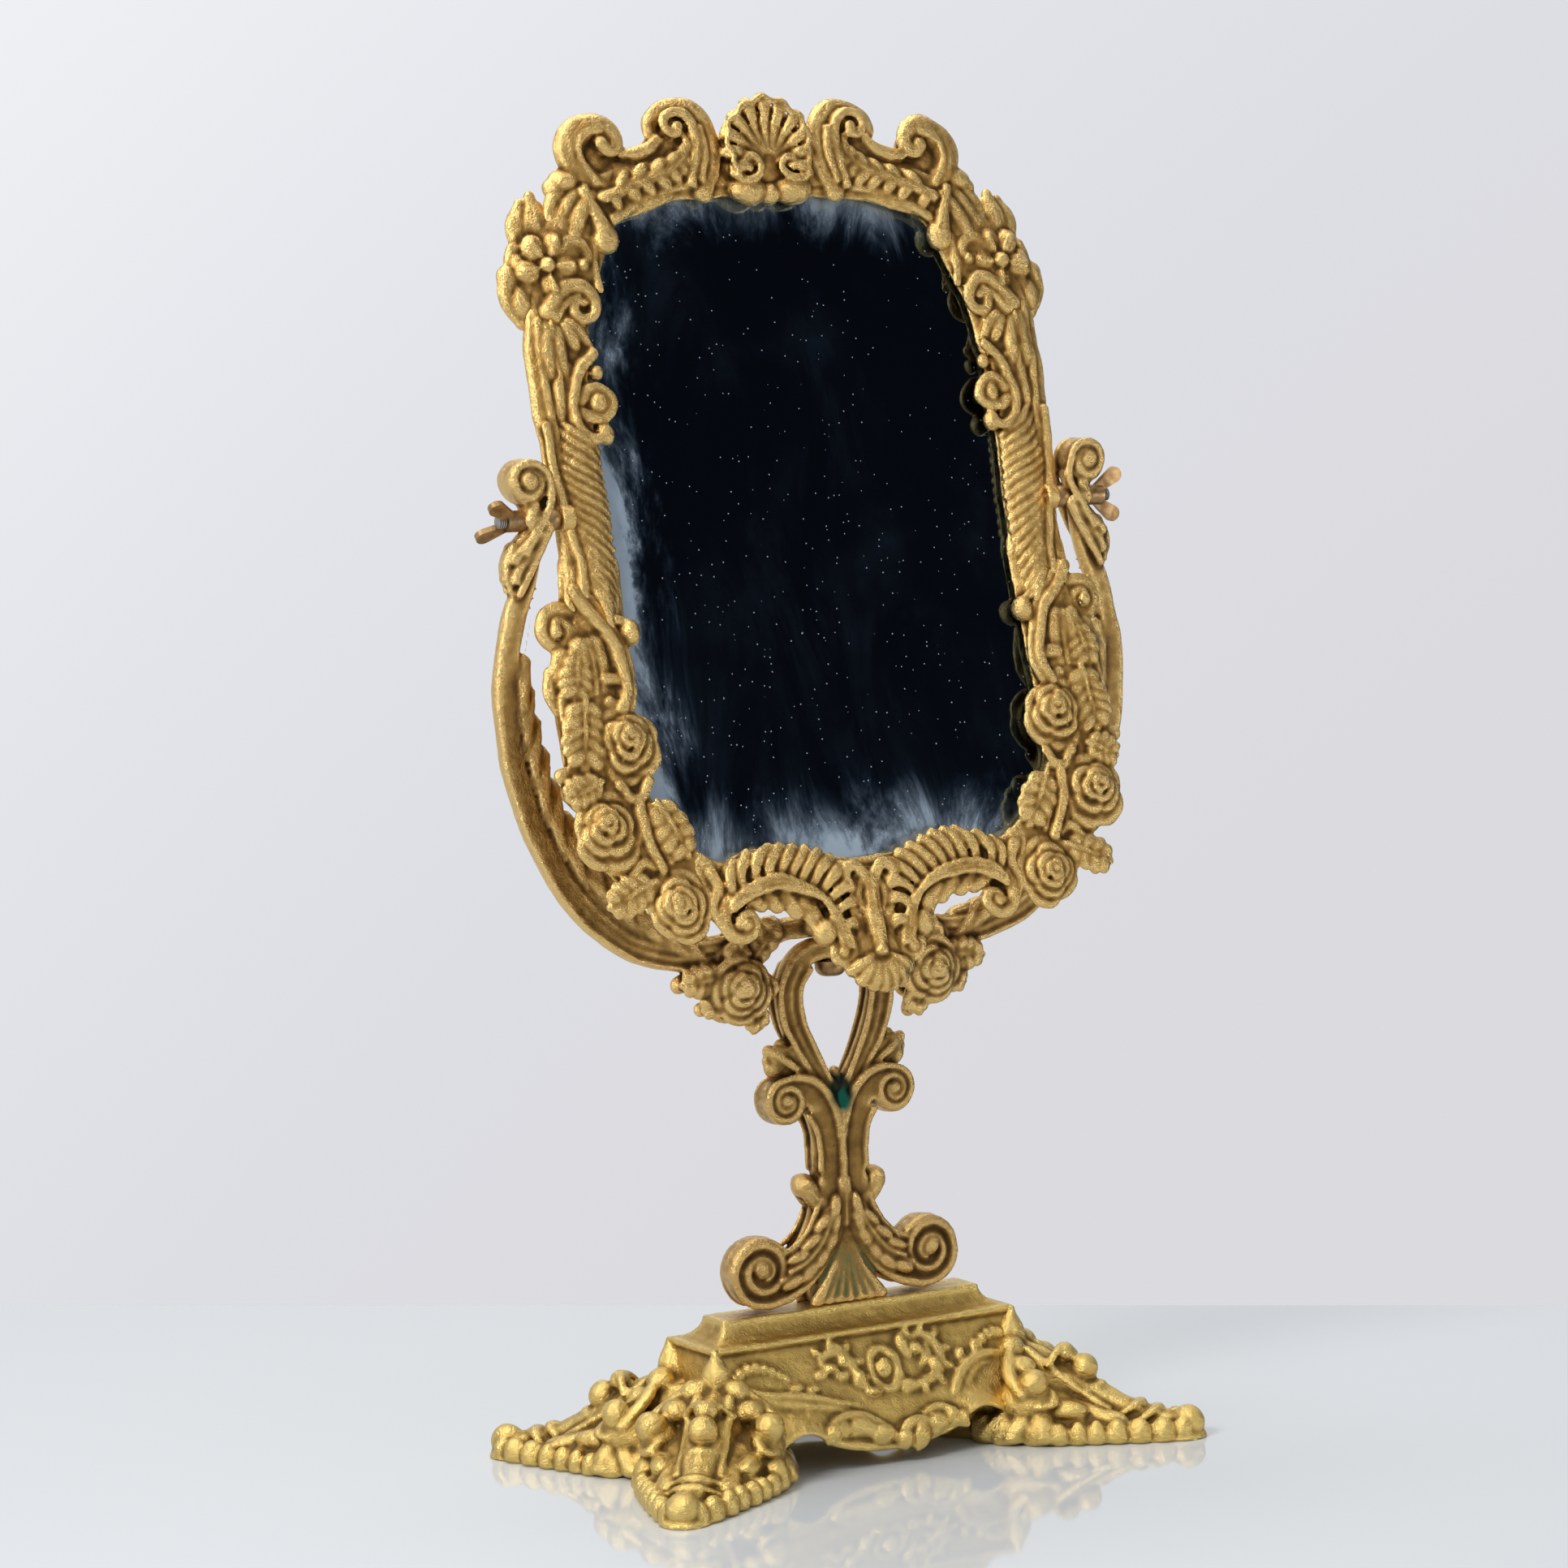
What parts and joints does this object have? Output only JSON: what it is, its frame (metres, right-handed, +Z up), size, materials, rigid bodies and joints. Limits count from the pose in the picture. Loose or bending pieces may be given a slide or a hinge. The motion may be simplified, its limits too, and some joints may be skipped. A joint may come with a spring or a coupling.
{
  "type": "table mirror",
  "caption": "Cast brass dressing-table mirror: a carved frame with an arched plate tilts on thumb-nut pivots in a U-shaped yoke, on a scrolled stem and a footed base.",
  "frame": {"origin": "bottom centre of the base, on the table", "axes": "+Z up, the mirror faces -Y, +X to the right as seen from the front; the mirror tilts about X"},
  "size_m": [0.2268, 0.1252, 0.4201],
  "materials": {
    "cast_brass": "aged satin casting",
    "nut_brass": "smooth, worn",
    "steel": "dull",
    "mirror_glass": "polished, dusty",
    "card": "matte card",
    "board": "matte stained board"
  },
  "bodies": {
    "stand": {"base_casting": "cast_brass", "base_screws": "steel", "base_washers": "steel", "stem_casting": "cast_brass", "yoke_casting": "cast_brass", "yoke_bolt": "nut_brass", "yoke_washer": "nut_brass"},
    "mirror": {"frame_casting": "cast_brass", "mirror_plate": "mirror_glass", "backing_card": "card", "back_board": "board", "retaining_clips": "nut_brass", "clip_screws": "steel", "pivot_stud_left": "steel", "pivot_stud_right": "steel", "spacer_bead_left": "nut_brass", "spacer_bead_right": "nut_brass"},
    "wing_nut_left": {"wing_nut_left": "nut_brass"},
    "wing_nut_right": {"wing_nut_right": "nut_brass"}
  },
  "joints": [
    {"name": "mirror_tilt", "type": "hinge", "parent": "stand", "child": "mirror", "pos_m": [0, 0, 0.292], "axis": [-1, 0, 0], "range_deg": [-3, 145]},
    {"name": "left_nut_turn", "type": "hinge", "parent": "mirror", "child": "wing_nut_left", "pos_m": [-0.1, 0, 0.292], "axis": [-1, 0, 0], "continuous": true},
    {"name": "right_nut_turn", "type": "hinge", "parent": "mirror", "child": "wing_nut_right", "pos_m": [0.1, 0, 0.292], "axis": [1, 0, 0], "continuous": true}
  ]
}
